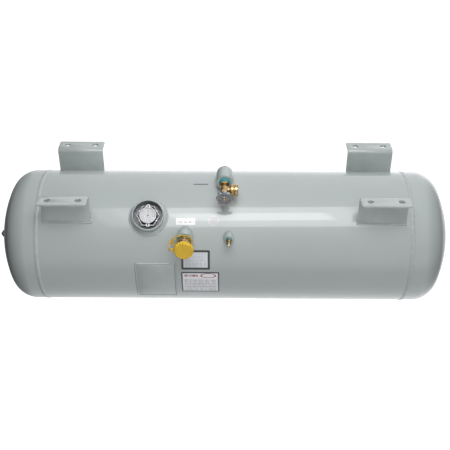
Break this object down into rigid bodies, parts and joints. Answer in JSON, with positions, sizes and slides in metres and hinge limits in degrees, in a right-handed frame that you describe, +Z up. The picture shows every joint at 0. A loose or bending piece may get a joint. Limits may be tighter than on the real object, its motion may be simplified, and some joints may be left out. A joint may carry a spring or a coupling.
{
  "type": "horizontal pressure tank",
  "caption": "Grey horizontal gas pressure tank with domed ends, hung by flanged brackets, with a level gauge, yellow-capped fill valve, bleeder and service valve.",
  "frame": {"origin": "centre of the bolt pattern, on the plane of the bracket flanges' top faces", "axes": "+Z up, X along the tank, -Y towards the side with the fittings"},
  "size_m": [1.4072, 0.4565, 0.4524],
  "materials": {
    "grey_paint": "gloss",
    "brass": "satin",
    "yellow_plastic": "matte",
    "thread_sealant": "matte",
    "cast_aluminium": "cast",
    "gauge_casting": "cast",
    "plated_steel": "satin",
    "bare_steel": "dull",
    "dial_face": "gloss",
    "pointer": "gloss",
    "lens": "clear"
  },
  "bodies": {
    "tank": {"shell": "grey_paint", "head_left": "grey_paint", "head_right": "grey_paint", "head_plug": "bare_steel", "girth_weld_left": "grey_paint", "girth_weld_right": "grey_paint", "bracket_front_left": "grey_paint", "bracket_front_right": "grey_paint", "bracket_rear_left": "grey_paint", "bracket_rear_right": "grey_paint", "data_plate": "grey_paint", "data_plate_weld": "grey_paint", "gauge_ring": "grey_paint", "gauge_collar": "grey_paint", "gauge_boss": "grey_paint", "gauge_head": "gauge_casting", "gauge_case": "gauge_casting", "gauge_dial": "dial_face", "gauge_lens": "lens", "gauge_screw_upper": "plated_steel", "gauge_screw_lower": "plated_steel", "fill_coupling": "grey_paint", "fill_sealant": "thread_sealant", "fill_valve": "brass", "fill_cap": "yellow_plastic", "fill_cap_strap": "yellow_plastic", "bleeder_coupling": "grey_paint", "bleeder_sealant": "thread_sealant", "bleeder_valve": "brass", "bleeder_screw": "plated_steel", "service_elbow": "grey_paint", "service_sealant": "thread_sealant", "service_valve": "brass", "service_bonnet": "brass", "outlet_cap": "brass"},
    "wheel": {"handwheel": "cast_aluminium", "service_stem": "brass", "stem_nut": "brass"},
    "pointer": {"gauge_pointer": "pointer"}
  },
  "joints": [
    {"name": "handwheel_turn", "type": "hinge", "parent": "tank", "child": "wheel", "pos_m": [0.0008, -0.148, -0.0082], "axis": [0, -1, 0], "range_deg": [0, 1080]},
    {"name": "pointer_turn", "type": "hinge", "parent": "tank", "child": "pointer", "pos_m": [-0.2235, -0.14445, -0.06693], "axis": [0, -0.6626, 0.749], "range_deg": [-135, 135]}
  ]
}
